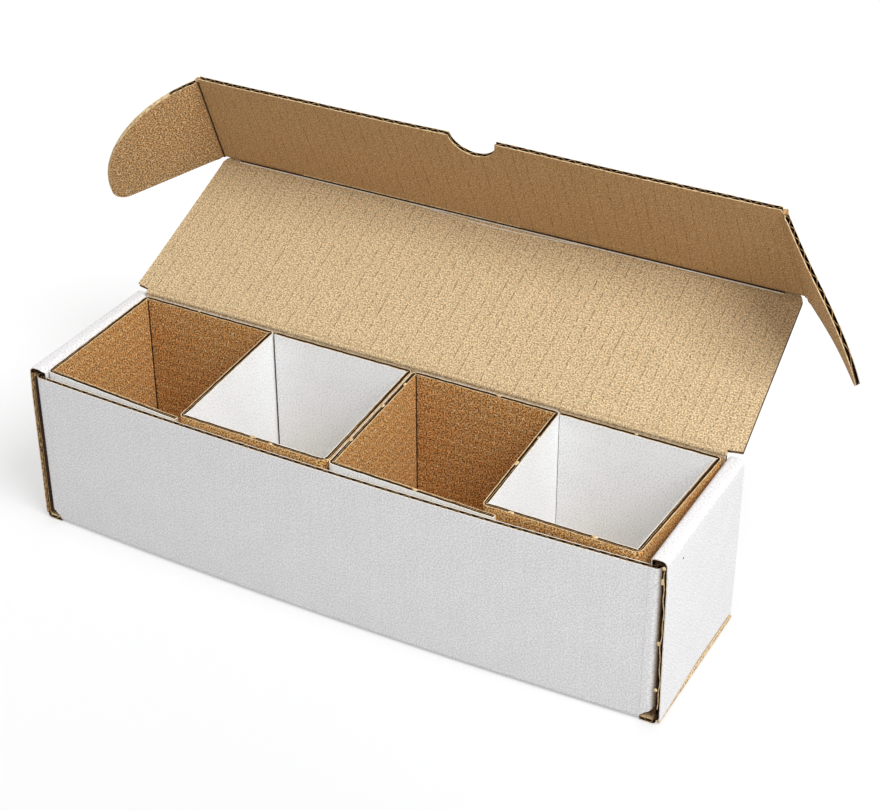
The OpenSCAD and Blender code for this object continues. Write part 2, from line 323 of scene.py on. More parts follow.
class Board:
    """The box's sizes in millimetres, and the sheets and planes of its board."""

    def __init__(self, scene):
        board, box = scene.mailer_board, scene.mailer_box
        self.t = board.thickness * MM
        self.half = self.t / 2
        self.liner = board.liner * MM
        self.medium = board.medium * MM
        self.pitch = board.pitch * MM
        self.radius = board.fold_radius * MM
        self.uneven = board.unevenness * MM
        self.hollow = self.half - self.liner
        self.box = box
        self.half_l, self.half_d = box.half_length * MM, box.half_depth * MM
        self.end_h, self.front_h = box.end_height * MM, box.front_height * MM
        self.bow, self.run, self.flap_h = box.bow * MM, box.lid_run * MM, box.flap_height * MM
        # Middles of the back wall and of the dust flaps, and the inner walls' face.
        self.wall_y = self.half_d - self.half
        self.dust_x = self.half_l - self.t - SLIT - self.half
        self.inner_x = self.half_l - 3 * self.t - GAP
        # Half the length of the walls and of the hinge, and the hinge's height.
        self.wall_half = self.inner_x - GAP
        self.hinge_z = self.end_h + GAP + self.half

    def bowed(self, x):
        """The front wall's bow, a parabola that is flat in the middle."""
        return self.bow * np.clip(1 - (x / self.dust_x) ** 2, 0, 1)

    def plane(self, flap=False):
        """The function that lays x, v and w in the plane of the lid, or of the tuck flap.

        v runs up the panel from its crease, and w off its kraft side: y is v x the cosine less w x
        the sine of the panel's angle, and z is v x the sine plus w x the cosine, from the crease.
        """
        y, z, lean = self.wall_y, self.hinge_z, self.box.lid_angle
        if flap:
            y, z = y + self.run * np.cos(lean), z + self.run * np.sin(lean)
            lean += self.box.flap_angle
        return lambda x, v, w: (
            x, y + v * np.cos(lean) - w * np.sin(lean), z + v * np.sin(lean) + w * np.cos(lean)
        )

    def sheet(
        self, place, s, low, high, rows, up, down, wave, span=None, raised=flat(0.0),
        sunk=flat(0.0), phase=0.0, cut=(None, "fluting_cut"), depth=None,
    ):
        """Two liners with the fluting between them.

        The liners lie half the board's thickness either side of its middle. The fluting's middle is
        a sine of the pitch, along s or along v, that reaches from one liner to the other. span is
        the stretch of s that has fluting; elsewhere it can't be seen. raised and sunk are added to
        the upper and lower faces, for the beads and grooves beside a crease. cut holds the finishes
        of the upper liner's cut and of the fluting's. Below depth under the upper edge the fluting,
        which can't be seen there either, is left out.
        """
        swing = self.hollow - self.medium / 2 - HAIR
        across = wave == "v"
        # The liners' inner faces take the near-black fluting finish, painted shade of the hollow
        # between them.
        sheets = [
            slab(
                place, s, low, high, rows,
                lambda p, q: self.hollow + raised(p, q), lambda p, q: self.half + raised(p, q),
                (up, "fluting", cut[0] or up + "_cut"), across,
            ),
            slab(
                place, s, low, high, rows,
                lambda p, q: -self.half - sunk(p, q), lambda p, q: -self.hollow - sunk(p, q),
                ("fluting", down, down + "_cut"), across,
            ),
        ]
        first, last = span or (s[0], s[-1])
        inside = s[(s > first) & (s < last)]
        if across:
            fine = np.concatenate([[first], inside, [last]])
            extent = depth or np.max(high(s)) - np.min(low(s))
            fine_rows = steps_between(0.0, 1.0, self.pitch / FLUTE_STEPS / extent)
        else:
            fine = np.union1d(steps_between(first, last, self.pitch / FLUTE_STEPS), inside)
            fine_rows = np.array([0.0, 0.5, 1.0])

        def middle(p, q):
            """Height of the fluting's middle: swing x sine of the whole turns so far."""
            return swing * np.sin(2 * np.pi * ((q if across else p) / self.pitch + phase))

        sheets.append(slab(
            place, fine, (lambda q: high(q) - depth) if depth else low, high, fine_rows,
            lambda p, q: middle(p, q) - self.medium / 2,
            lambda p, q: middle(p, q) + self.medium / 2, ("fluting", "fluting", cut[1]), across,
        ))
        return sheets

    def skirt(self, place, s, low, high, rows):
        """The white liner alone, which runs on past the board's end and over the crease."""
        return slab(place, s, low, high, rows, flat(-self.half), flat(-self.hollow), "white")


# ---------------------------------------------------------------------------------------------
# Finishes

BUMP, MAPPING, MATH = "ShaderNodeBump", "ShaderNodeMapping", "ShaderNodeMath"
MIX, NOISE, RAMP = "ShaderNodeMix", "ShaderNodeTexNoise", "ShaderNodeMapRange"
SURFACE = "ShaderNodeBsdfPrincipled"
CELLULOSE_IOR = 1.45
FLUTE_PITCH = 0.0058  # metres


def add(tree, kind, settings=None, links=None):
    """Adds a node, sets its attributes and its sockets' values, and links other nodes to it.

    A link names a socket, or a node whose first output is meant.
    """
    node = tree.nodes.new(kind)
    for key, value in (settings or {}).items():
        if isinstance(key, str) and hasattr(node, key):
            setattr(node, key, value)
        else:
            node.inputs[key].default_value = value
    for key, source in (links or {}).items():
        socket = source.outputs[0] if hasattr(source, "outputs") else source
        tree.links.new(socket, node.inputs[key])
    return node


def new_material(name):
    """An empty node material."""
    material = bpy.data.materials.get(name) or bpy.data.materials.new(name)
    material.use_nodes = True
    material.node_tree.nodes.clear()
    return material, material.node_tree


def rgba(rgb):
    """A colour with its alpha."""
    return (*rgb, 1.0)


def paper(name, base, dark, light, mottle, grain, lines, roughness, bump):
    """A paper of the board. The chart's U runs across the flutes and V along them, both in metres.

    A noise's scale is one over its size in metres. Cloudy patches of 14 mm come from the pulp's
    formation. The dark and light flecks are bundles of fibre, really about 0.3 mm across and drawn
    at 0.7 to 1.1 mm so that they show. The broken lines are the tips of the flutes, which press
    through the liner.
    """
    material, tree = new_material(name)
    chart = {"Vector": add(tree, "ShaderNodeUVMap", {"uv_map": "board"})}
    cloud = add(tree, NOISE, {"Scale": 70.0, "Detail": 3.0, "Roughness": 0.6}, chart)
    speck = add(tree, NOISE, {"Scale": 1350.0, "Detail": 2.0, "Roughness": 0.6}, chart)
    stretch = add(
        tree, MAPPING, {"Scale": (900.0, 420.0, 1.0), "Location": (3.0, 7.0, 0.0)}, chart
    )
    fibre = add(
        tree, NOISE, {"Scale": 1.0, "Detail": 2.0, "Roughness": 0.6}, {"Vector": stretch}
    )
    # A wave texture of scale 1 repeats after 2 x pi / 20.
    flute = add(tree, "ShaderNodeTexWave", {
        "wave_type": "BANDS", "bands_direction": "X", "wave_profile": "SIN",
        "Scale": 2 * np.pi / (FLUTE_PITCH * 20), "Distortion": 0.5, "Detail": 1.0,
        "Detail Scale": 2.0,
    }, chart).outputs["Fac"]
    dashes = add(tree, MAPPING, {"Scale": (170.0, 460.0, 1.0)}, chart)
    broken = add(
        tree, NOISE, {"Scale": 1.0, "Detail": 1.0, "Roughness": 0.5}, {"Vector": dashes}
    )
    patch = add(tree, RAMP, {1: 0.36, 2: 0.64, 4: mottle}, {0: cloud})
    lighter = add(tree, RAMP, {1: 0.54, 2: 0.70, 4: grain}, {0: fibre})
    tips = add(tree, RAMP, {1: 0.96, 2: 1.0, 4: lines}, {0: flute})
    gaps = add(tree, RAMP, {1: 0.46, 2: 0.56}, {0: broken})
    line = add(tree, MATH, {"operation": "MULTIPLY"}, {0: tips, 1: gaps})
    tint = add(tree, MIX, {"data_type": "RGBA", 6: rgba(base), 7: rgba(dark)}, {0: patch})
    for share, over in ((lighter, light), (line, dark)):
        tint = add(
            tree, MIX, {"data_type": "RGBA", 7: rgba(over)}, {0: share, 6: tint.outputs[2]}
        )
    tone = add(tree, RAMP, {1: 0.40, 2: 0.60, 3: 1 - grain, 4: 1 + grain}, {0: speck})
    toned = add(
        tree, "ShaderNodeVectorMath", {"operation": "SCALE"}, {0: tint.outputs[2], "Scale": tone}
    )
    height = add(tree, MATH, {"operation": "MULTIPLY_ADD", 1: 0.4}, {0: flute, 2: speck})
    relief = add(tree, BUMP, {"Strength": bump, "Distance": 0.0004}, {"Height": height})
    surface = add(tree, SURFACE, {
        "Roughness": roughness, "IOR": CELLULOSE_IOR, "Specular IOR Level": 0.3,
    }, {"Base Color": toned, "Normal": relief})
    add(tree, "ShaderNodeOutputMaterial", None, {"Surface": surface})
    return material


def cut_edge(name, base, dark):
    """A paper's cut edge: fuzzy short fibres that the die crushed, matt, with 1.5 mm dark gaps."""
    material, tree = new_material(name)
    place = {"Vector": add(tree, "ShaderNodeTexCoord").outputs["Object"]}
    fuzz = add(tree, NOISE, {"Scale": 650.0, "Detail": 2.0, "Roughness": 0.7}, place)
    share = add(tree, RAMP, {1: 0.42, 2: 0.66}, {0: fuzz})
    mixed = add(tree, MIX, {"data_type": "RGBA", 6: rgba(base), 7: rgba(dark)}, {0: share})
    relief = add(tree, BUMP, {"Strength": 0.5, "Distance": 0.0003}, {"Height": fuzz})
    surface = add(tree, SURFACE, {
        "Roughness": 0.95, "IOR": CELLULOSE_IOR, "Specular IOR Level": 0.2,
    }, {"Base Color": mixed.outputs[2], "Normal": relief})
    add(tree, "ShaderNodeOutputMaterial", None, {"Surface": surface})
    return material


def papers(colours, kraft, white, ticks, grain):
    """The board's finishes, in the order of SKINS, with the piece's own kraft and white papers."""
    brown, pale = getattr(colours, kraft), getattr(colours, white)
    dark = colours.fibre
    # Kraft liner: unbleached pulp, calendered, so matt brown, full of dark and light fibres.
    # White top liner: bleached pulp pressed smooth, so matt white with a faint grey mottle.
    # Fluting: recycled fibre, soft and dull, its colour darkened nearly to black as painted shade
    # in the depth of the flutes.
    return [
        paper(kraft + "_liner", brown, dark, colours.fleck, 0.06, grain, ticks, 0.85, 0.9),
        paper(white + "_top_liner", pale, colours.shade, pale, 0.1, 0.15, 0.1, 0.7, 0.25),
        paper("fluting_medium", colours.fluting, dark, dark, 0.2, 0.2, 0.0, 0.95, 0.2),
        cut_edge("kraft_liner_cut", colours.kraft_cut, colours.kraft),
        cut_edge("white_top_liner_cut", colours.white_cut, colours.kraft_cut),
        cut_edge("fluting_cut", colours.kraft, dark),
    ]


def make_piece(
    context, name, node, body, sheets, kraft="kraft", white="white", ticks=0.3, grain=0.55
):
    """Joins the sheets into one mesh in metres, with its finishes, its body and its node."""

    def joined(key):
        """What all the sheets hold under a key, in one array."""
        return np.concatenate([sheet[key] for sheet in sheets])

    start = np.cumsum([0] + [len(sheet["points"]) for sheet in sheets])
    faces = np.concatenate([sheet["faces"] + first for sheet, first in zip(sheets, start)])
    chart = np.concatenate([sheet["chart"] + CHART_STEP * k for k, sheet in enumerate(sheets)]) / MM
    mesh = bpy.data.meshes.new(name)
    mesh.from_pydata((joined("points") / MM).tolist(), [], faces.tolist())
    layer = mesh.uv_layers.new(name="board")
    layer.data.foreach_set("uv", chart[faces].ravel().astype(np.float32))
    mesh.polygons.foreach_set("material_index", joined("skins").astype(np.int32))
    mesh.shade_smooth()
    mesh.set_sharp_from_angle(angle=float(np.radians(SHARP)))
    mesh.update()
    piece = bpy.data.objects.new(name, mesh)
    context.scene.collection.objects.link(piece)
    for material in papers(context.scene.mailer_finish, kraft, white, ticks, grain):
        mesh.materials.append(material)
    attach(piece, body)
    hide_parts(node)
    return piece


# ---------------------------------------------------------------------------------------------
# Pieces


def tray_walls(board):
    """Front wall, bottom and back wall, one strip seen along X."""
    y, front_h, half = board.wall_y, board.front_h, board.half
    strip = fold([(-y, front_h), (-y, half), (y, half), (y, board.hinge_z - START)], board.radius)

    def place(s, v, w):
        """The strip stands in Y and Z; the bow fades out over the bottom's first 60 mm."""
        y, z = follow(strip, s, w)
        fade = np.clip(1 - (s - front_h) / 60, 0, 1)
        return v, y - board.bowed(v) * fade, z

    s = np.union1d(strip[0], [20.0, 45.0, front_h + 20, front_h + 40, front_h + 60])
    return board.sheet(
        place, s, flat(-board.wall_half), flat(board.wall_half), np.linspace(0, 1, 41),
        "kraft", "white", "v", span=(0.25, SEEN), cut=("white_cut", "fluting_cut"),
    )


def tray_corner(board, side, front):
    """A corner, where a wall turns into the dust flap inside the hollow end."""
    out = board.bowed(board.wall_half) if front < 0 else 0.0
    turn_x = board.dust_x - (GAP if side > 0 and front < 0 else 0.0)
    turn = fold([
        (board.wall_half, board.wall_y + out), (turn_x, board.wall_y),
        (turn_x, board.wall_y - DUST_FLAP),
    ], END_FOLD_R, 10)
    below_ledge = 2.0
    top = board.front_h if front < 0 else board.end_h - board.t - below_ledge

    def place(s, v, w):
        """The strip stands in X and Y, mirrored to its corner."""
        x, y = follow(turn, s, w)
        return side * x, front * y, v

    def foot(s):
        """The die-cut foot of the corner, which rises away from the wall."""
        return 2.7 + 3.6 * np.clip(s / 4, 0, 1)

    # Rows close together at both edges, where the crushed liner shows.
    rows = np.array([0, 0.002, 0.01, 0.99, 0.998, 1])
    return board.sheet(place, turn[0], foot, flat(top), rows, "white", "kraft", "s")


def rolled_end(board, side):
    """Rolled end: up outside, over the ledge, down inside, and the locking tab out again."""
    half, half_l, half_d, end_h = board.half, board.half_l, board.half_d, board.end_h
    wall_foot = 2.65
    wall_x, ledge_x = half_l - half, board.wall_half + GAP + half
    end = fold([
        (wall_x, wall_foot), (wall_x, end_h - half), (ledge_x, end_h - half), (ledge_x, half),
        (half_l, half),
    ], END_FOLD_R)
    height = end_h - half - wall_foot
    over_ledge = height + (wall_x - ledge_x)
    # How far the outer wall's front edge stands off, and the share of it that is lost at the top.
    spread, close = (board.box.flare * MM, 0.35) if side < 0 else (1.3, 0.65)

    def width(s):
        """Half the end's depth: the whole box outside, less for the inner wall and the tab."""
        inner = np.clip((s - over_ledge + 1.0) / 2.0, 0, 1)
        tab = np.clip((s - over_ledge - end_h + 8) / 3, 0, 1)
        return half_d - (board.t + GAP) * inner - 1.0 * tab

    def place(s, v, w):
        """The strip stands in X and Z; the outer wall stands off by a bell 26 mm wide along Y."""
        x, z = follow(end, s, w)
        outer = np.clip((height + 1 - s) / 14, 0, 1)
        away = spread * outer * np.exp(-((v + half_d) / 26) ** 2) * (1 - close * z / end_h)
        return side * (x + away + outer * stray(s, v, 5 + side, 0.12)), v, z

    def torn(s, v):
        """Where the tear in the right end's raw front edge runs, off the board's middle."""
        return 0.3 * np.sin(s / 5.3 + 1) + 0.2 * np.sin(s / 1.9)

    s = np.union1d(end[0], np.linspace(0, height, 12))
    rows = np.array([0, 0.003, 0.02, 0.08, 0.18, 0.3, 0.45, 0.6, 0.75, 0.9, 0.98, 0.997, 1])
    # The raw edges of the kraft liner and of the fluting are drawn in the near-black fluting
    # finish, painted shade for the dark groove beside the front wall's corners.
    sheets = board.sheet(
        place, s, lambda q: -width(q), width, rows, "kraft", "white", "s",
        cut=("fluting", "fluting"),
    )
    halves = np.array([0.0, 0.5, 1.0])
    if side > 0:
        # The torn middle of the raw front edge, and the dark speck on the outer face.
        sheets.append(slab(
            place, np.linspace(6, height - 4, 90), flat(-half_d - 0.05), flat(0.4 - half_d), halves,
            lambda s, v: torn(s, v) - 0.17, lambda s, v: torn(s, v) + 0.17,
            ("fluting_cut", "fluting_cut", "kraft_cut"),
        ))
        sheets.append(fleck(
            lambda s, v, w: place(s, w, -half - v), (73.9, 0.0, -25.3, 0.45, 0.4, 0.25), "fluting"
        ))
    else:
        # The crushed front edge, and a near-black bead behind it: painted shade in the gap between
        # the end and the front wall's corner.
        sheets.append(slab(
            place, np.linspace(0, height - 2, 12), flat(-half_d), flat(0.5 - half_d), halves,
            flat(-board.hollow), flat(board.hollow + 0.2), "fluting_cut",
        ))
        sheets.append(bead(
            lambda s, v, w: (-board.dust_x - half - 0.5 + v, 0.8 - half_d + w, s),
            4.0, board.front_h, 0.65, "fluting",
        ))
    return sheets


def crease_stub(board, side, front):
    """What is left of the bottom crease beside the locking tab's slot."""
    wall_x, top, depth = board.half_l - board.half, 2.6, 3.6
    strip = fold([(board.wall_half, board.half), (wall_x, board.half), (wall_x, top)], 1.0)

    def place(s, v, w):
        """The strip stands in X and Z, mirrored to its corner."""
        x, z = follow(strip, s, w)
        return side * x, front * v, z

    low, high = flat(board.half_d - depth), flat(board.half_d)
    return board.sheet(place, strip[0], low, high, np.linspace(0, 1, 3), "kraft", "white", "s")


class TrayOperator(bpy.types.Operator):
    """Folds the tray: bottom, front and back walls, dust flaps and both rolled ends"""

    bl_idname = "mailer.tray"
    bl_label = "Tray"

    def execute(self, context):
        """Makes the tray's sheets and joins them."""
        board = Board(context.scene)
        half, half_l, half_d = board.half, board.half_l, board.half_d
        sheets = tray_walls(board)
        for side in (-1, 1):
            for front in (-1, 1):
                sheets += tray_corner(board, side, front)
        for side in (-1, 1):
            sheets += rolled_end(board, side)
            for front in (-1, 1):
                sheets += crease_stub(board, side, front)

        def hinge(s, v, w):
            """The crease that the lid turns on, its kraft side 45 degrees up and to the front."""
            diagonal = 0.7071
            return s, board.wall_y + (v - w) * diagonal, board.hinge_z + (v + w) * diagonal

        sheets.append(bead(hinge, -board.wall_half, board.wall_half, CREASE_R, "kraft", "white"))
        # The crushed edge of each locking tab, pressed out through its slot.
        tab_half, tab_r, flattened = 40.5, 1.22, 0.5
        for side in (-1, 1):
            sheets.append(bead(
                lambda s, v, w, side=side: (side * (half_l + GAP + v * flattened), s, half + w),
                -tab_half, tab_half, tab_r, "kraft",
            ))
        # Flecks on the right end's raw front edge.
        sheets += [
            fleck(lambda s, v, w: (half_l - half - w, -half_d - v, s), spot, "kraft_cut")
            for spot in (
                (81.3, 0.0, 0.2, 1.0, 0.9, 0.6), (74.6, 0.0, 0.5, 1.5, 0.7, 0.6),
                (43.1, 0.0, 0.4, 1.0, 0.8, 0.6), (18.6, 0.0, 0.2, 0.9, 0.8, 0.5),
            )
        ]
        # The tray's kraft takes the lid's paler tint, with its painted sheen.
        make_piece(context, "tray_boards", "tray", "tray", sheets, "sheen_painted_kraft")
        return {"FINISHED"}


class LidOperator(bpy.types.Operator):
    """Makes the lid, with the crease that the tuck flap turns on"""

    bl_idname = "mailer.lid"
    bl_label = "Lid"

    def execute(self, context):
        """Makes the lid's sheets and joins them."""
        board = Board(context.scene)
        run, hinge_half, corner = board.run, board.wall_half, 4.0
        reach = board.half_l - LID_INSET
        lay = board.plane()

        def place(s, v, w):
            """The panel fans in by its taper from near the hinge, only in its outer thirds."""
            side = np.clip((np.abs(s) - FAN_FROM) / (reach - FAN_FROM), 0, 1)
            x = s - np.sign(s) * LID_TAPER * side * (v - 6) / (run - 10)
            still = np.sin(np.pi * np.clip(v / run, 0, 1))
            return lay(x, v, w + still * stray(s, v, 11, board.uneven))

        def near_edge(s):
            """The hinge's edge, cut back at both corners, where the lid lies over the ledges."""
            return START + 1.0 * np.clip((np.abs(s) - hinge_half) / (reach - hinge_half), 0, 1)

        def far_edge(s):
            """The far edge, with a quarter round of the corner's radius at each end."""
            into = np.clip(np.abs(s) - (reach - corner), 0, corner)
            return run - corner + np.sqrt(corner ** 2 - into ** 2) + 0.05

        def relief(p, q):
            """Scored lines beside both creases."""
            return crease_lines(q, 0.4) + crease_lines(q, run - 1.6, 0.3, 0.25)

        turn = reach - corner + corner * np.sin(np.linspace(0, np.pi / 2, 9))
        s = np.union1d(
            np.linspace(-150, 150, 61), np.concatenate([[-hinge_half, hinge_half], -turn, turn])
        )
        v = np.array([
            0, 0.6, 1.2, 1.8, 2.6, 3.6, 5, 8, 16, 26, 36, 46, 56, 66, 76, 80, 82, 83.5, 84.5, 85.3,
            86, 86.6, 87.2,
        ])
        sheets = board.sheet(
            place, s, near_edge, far_edge, v / v[-1], "kraft", "white", "s", raised=relief
        )
        crease = reach - LID_TAPER - corner
        sheets.append(bead(
            lambda p, q, w: place(p, run + q, w), -crease, crease, board.half - HAIR,
            "kraft", "white",
        ))

        def line(before, above, start, end, radius, up, down=None):
            """A bead along the far crease, a little before it and above the kraft face."""
            sheets.append(bead(
                lambda p, q, w: place(p, run - before(p) + q, board.half + above + w),
                start, end, radius, up, down,
            ))

        # A near-black bead at the bottom of the crease, painted shadow in the slit below the tuck
        # flap, and a white bead on the stretched liner before it,
        # which catches the light: its white is partly the stretched fibres' whitening and partly a
        # painted highlight.
        line(flat(1.25), 0.1, 2 - crease, crease - 2, 0.5, "fluting")
        line(flat(2.1), 0.25, 2 - crease, crease - 2, 0.27, "white_cut")
        # A wrinkle of the liner, which leaves the crease and comes back as half a sine; its white
        # cut finish is partly the stretched fibres' whitening and partly a painted highlight.
        line(
            lambda p: 2.3 + 2.0 * np.sin(np.pi * (p + 42) / 90), 0.35, -42, 48, 0.24,
            "white_cut", "kraft_cut",
        )
        # The lid's paler kraft carries a painted sheen.
        make_piece(
            context, "lid_board", "lid", "lid", sheets, "sheen_painted_kraft", ticks=0.6,
            grain=0.45,
        )
        return {"FINISHED"}


class FlapOperator(bpy.types.Operator):
    """Makes the tuck flap, with its thumb notch and the creases that the ears turn on"""

    bl_idname = "mailer.tuck_flap"
    bl_label = "Tuck flap"

    def execute(self, context):
        """Makes the tuck flap's sheets and joins them."""
        board = Board(context.scene)
        height, notch = board.flap_h, board.box.notch * MM
        reach = board.half_l - FLAP_INSET
        slant = np.arctan2(FLAP_TAPER, height)
        side_length = np.hypot(FLAP_TAPER, height)
        lay = board.plane(flap=True)

        def place(s, v, w):
            """The panel fans in by its taper over its height, only in its outer thirds."""
            side = np.clip((np.abs(s) - FAN_FROM) / (reach - FAN_FROM), 0, None)
            x = s - np.sign(s) * FLAP_TAPER * side * v / height
            still = np.clip(v / 20, 0, 1) * np.clip((reach - np.abs(s)) / 20, 0, 1)
            return lay(x, v, w + still * stray(s, v, 23, board.uneven))

        def top(s):
            """The free edge, with the notch's round cut out of its middle."""
            inside = np.abs(s) < notch - HAIR
            cut = height + 0.5 - np.sqrt(np.maximum(notch ** 2 - s ** 2, 0))
            return np.where(inside, np.minimum(cut, height), height)

        def relief(p, q):
            """Scored lines beside the lid's crease and the two ear creases."""
            return crease_lines(q, 1.2, 0.3, 0.1) + crease_lines(np.abs(p), reach - 0.3, 0.2, 0.2)

        round_s = notch * np.sin(np.linspace(-np.pi / 2, np.pi / 2, 31))
        s = np.union1d(np.linspace(-reach + START, reach - START, 65), round_s)
        v = np.array([0, 0.5, 1, 1.6, 2.4, 3.4, 5, 9, 16, 24, 32, 40, 48, 54, 58, 60.3])
        rows = v / v[-1]
        sheets = board.sheet(place, s, flat(2.0), top, rows, "kraft", "white", "s", raised=relief)
        # The white liner, unbroken over the lid's crease and the ears' creases.
        sheets.append(board.skirt(place, s, flat(0.06), flat(2.05), np.linspace(0, 1, 3)))
        for side in (-1, 1):
            past = np.sort(side * np.linspace(reach - 1.4, reach - 0.5, 3))
            sheets.append(board.skirt(place, past, flat(2.0), flat(v[-1]), rows))
        # The scuffed lower edge of the kraft liner, left of the middle, which catches the light.
        sheets.append(bead(
            lambda p, q, w: place(p, 2.9 + q, board.half + 0.1 + w), -108, 14, 0.3, "kraft_cut"
        ))
        # Two dark specks in the kraft liner.
        sheets += [
            fleck(lambda s, v, w: place(s, w, board.half + v), spot, "fluting")
            for spot in ((109.1, 0.0, 5.7, 0.5, 0.45, 0.25), (143.5, 0.0, 32.0, 0.4, 0.35, 0.2))
        ]
        for side in (-1, 1):

            def ear_crease(p, q, w, side=side):
                """The ear's crease, which leans in by the flap's taper."""
                x = reach - p * np.sin(slant) + q * np.cos(slant)
                return lay(side * x, p * np.cos(slant) + q * np.sin(slant), w)

            sheets.append(bead(ear_crease, 1.6, side_length - 1.6, CREASE_R, "kraft", "white"))
            if side < 0:
                # A near-black bead in the bottom of the crease, half the fold's angle in from the
                # flap's face: painted shade in the fold.
                sheets.append(bead(
                    lambda p, q, w, put=ear_crease: put(p, q - 0.6, w + 1.3),
                    2.2, side_length - 1.8, 0.36, "fluting",
                ))
        make_piece(
            context, "tuck_flap_board", "tuck_flap", "tuck_flap", sheets, ticks=0.5,
            grain=0.32,
        )
        return {"FINISHED"}


def ear(board, side):
    """An ear: straight towards the lid, a round tip, and a quarter of an ellipse back."""
    reach = board.half_l - FLAP_INSET
    slant = np.arctan2(FLAP_TAPER, board.flap_h)
    fold_in = board.box.ear_angle
    lay = board.plane(flap=True)
    tip, foot, tip_r, rise = board.box.ear_length * MM, 1.9, 8.0, 60.0

    def low(s):
        """The edge towards the lid, rounded up at the tip."""
        into = np.clip(s - (tip - tip_r), 0, tip_r)
        return foot + tip_r - np.sqrt(tip_r ** 2 - into ** 2)

    def high(s):
        """The curved back: a quarter ellipse from the tip up to the crease."""
        share = np.clip((s - 1.55) / (tip - 1.55), 0, 1)
        back = foot + tip_r + (rise - foot - tip_r) * np.sqrt(1 - share ** 2)
        return np.maximum(back, low(s) + 0.4)

    def place(p, q, w):
        """The ear's plane, turned in about its crease and then laid in the flap's plane."""
        w = w + stray(p, q, 40 + side, 0.3) * np.clip(p / 15, 0, 1)
        if side > 0:
            # The right ear is twisted: its curved edge inwards and its straight edge outwards.
            w = w + np.sin(np.pi * np.clip(p / tip, 0, 1)) * (2.9 * q / rise - 1.6)
        across = p * np.cos(fold_in) - w * np.sin(fold_in)
        out = p * np.sin(fold_in) + w * np.cos(fold_in)
        x = reach + across * np.cos(slant) - q * np.sin(slant)
        return lay(side * x, across * np.sin(slant) + q * np.cos(slant), out)

    s = np.union1d(
        START + (tip - START) * np.sin(np.linspace(0, np.pi / 2, 40)), [1.7, 2.3, 3.1, 4.0, 5.5]
    )
    rows = np.linspace(0, 1, 13)
    sheets = board.sheet(
        place, s, low, high, rows, "kraft", "white", "s",
        raised=lambda p, q: crease_lines(p, 0.6, 0.25, 0.25), span=(START, tip - 0.4),
    )
    sheets.append(board.skirt(place, np.array([0.5, 0.9, 1.4]), low, high, rows))
    if side < 0:
        # The die has pressed the curved edge shut where it runs along the flutes.
        sheets.append(slab(
            place, s[(s > 14) & (s < tip - 0.05)], lambda q: high(q) - 0.5, high,
            np.linspace(0, 1, 3), flat(-board.hollow), flat(board.hollow), "kraft_cut",
        ))
    return sheets


class EarsOperator(bpy.types.Operator):
    """Makes the two ears at the ends of the tuck flap"""

    bl_idname = "mailer.ears"
    bl_label = "Ears"

    def execute(self, context):
        """Makes each ear on its own body."""
        board = Board(context.scene)
        for side, name in ((-1, "ear_left"), (1, "ear_right")):
            make_piece(
                context, f"{name}_board", name, name, ear(board, side), "ear_kraft",
                grain=0.75,
            )
        return {"FINISHED"}


def divider_strip(board, divider, plan, bend, flecks):
    """A strip stood on edge along its plan. bend is the radius of the fold to its free back end."""
    foot, top, sag = 2.5, divider.top * MM, divider.sag * MM
    path = fold(plan, [board.radius] * 4 + [bend, board.radius])
    known = path[0]
    first, total = known[1], known[-1]

    def place(s, v, w):
        """The strip stands in X and Y, and its flutes lie level."""
        x, y = follow(path, s, w)
        return x, y, v

    def high(s):
        """The raw upper edge, which drops to the free front end and, by 2.2 percent, to the front.

        The die left it uneven by the product of two sines, 0.1 mm at most.
        """
        uneven = 0.1 * np.sin(s / 1.7) * np.sin(s / 6.1 + 1)
        slope = 0.022 * (follow(path, s, 0.0)[1] - 14)
        return top - sag * np.clip(1 - s / first, 0, 1) + slope + uneven

    # Middle of each fold, and which way it turns.
    folds = known[1 + FOLD_STEPS // 2 + (FOLD_STEPS + 1) * np.arange(6)]
    legs = np.diff(np.asarray(plan), axis=0)
    turns = legs[:-1, 0] * legs[1:, 1] - legs[:-1, 1] * legs[1:, 0]

    def groove(side):
        """The crushed inner side of each fold on one side of the strip, in a bell's shape.

        Its depth is 0.9 x e to the power of minus the square of the distance over 0.45 mm.
        """
        at = folds[turns * side > 0]
        return lambda p, q: -0.9 * np.exp(-((p[..., None] - at) / 0.45) ** 2).sum(-1)

    sheets = board.sheet(
        place, np.union1d(known, steps_between(0, total, 2.0)), flat(foot), high,
        np.array([0, 0.01, 0.5, 0.99, 1]), "white", "kraft", "v", raised=groove(1),
        sunk=groove(-1), phase=0.16 - top / board.pitch, depth=SEEN,
    )
    # The crushed free front end, where the liners meet.
    sheets.append(slab(
        place, np.array([0.0, 0.2, 0.4]), flat(foot), high, np.array([0.0, 0.5, 1.0]),
        flat(-board.hollow), flat(board.hollow), "white_cut",
    ))
    # A near-black bead in the fold of the brown cell's far left corner: painted shade along that
    # corner.
    x, y = (float(k) for k in follow(path, folds[1], -board.half + 0.1))
    sheets.append(bead(lambda s, v, w: (x + v, y + w, s), 2.6, top - 0.3, 0.5, "fluting"))
    # Torn flecks, each on the upper edge where it passes nearest to x and y.
    near = steps_between(0, total, 0.5)
    there = follow(path, near, 0.0)
    for k, (x_at, y_at, size) in enumerate(flecks):
        at = float(near[np.argmin(np.hypot(there[0] - x_at, there[1] - y_at))])
        spot = (at, float(high(at)) - 0.1, 0.4 * (-1) ** k, size, 0.6 * size, 0.55)
        sheets.append(fleck(place, spot, "kraft_cut"))
    return sheets


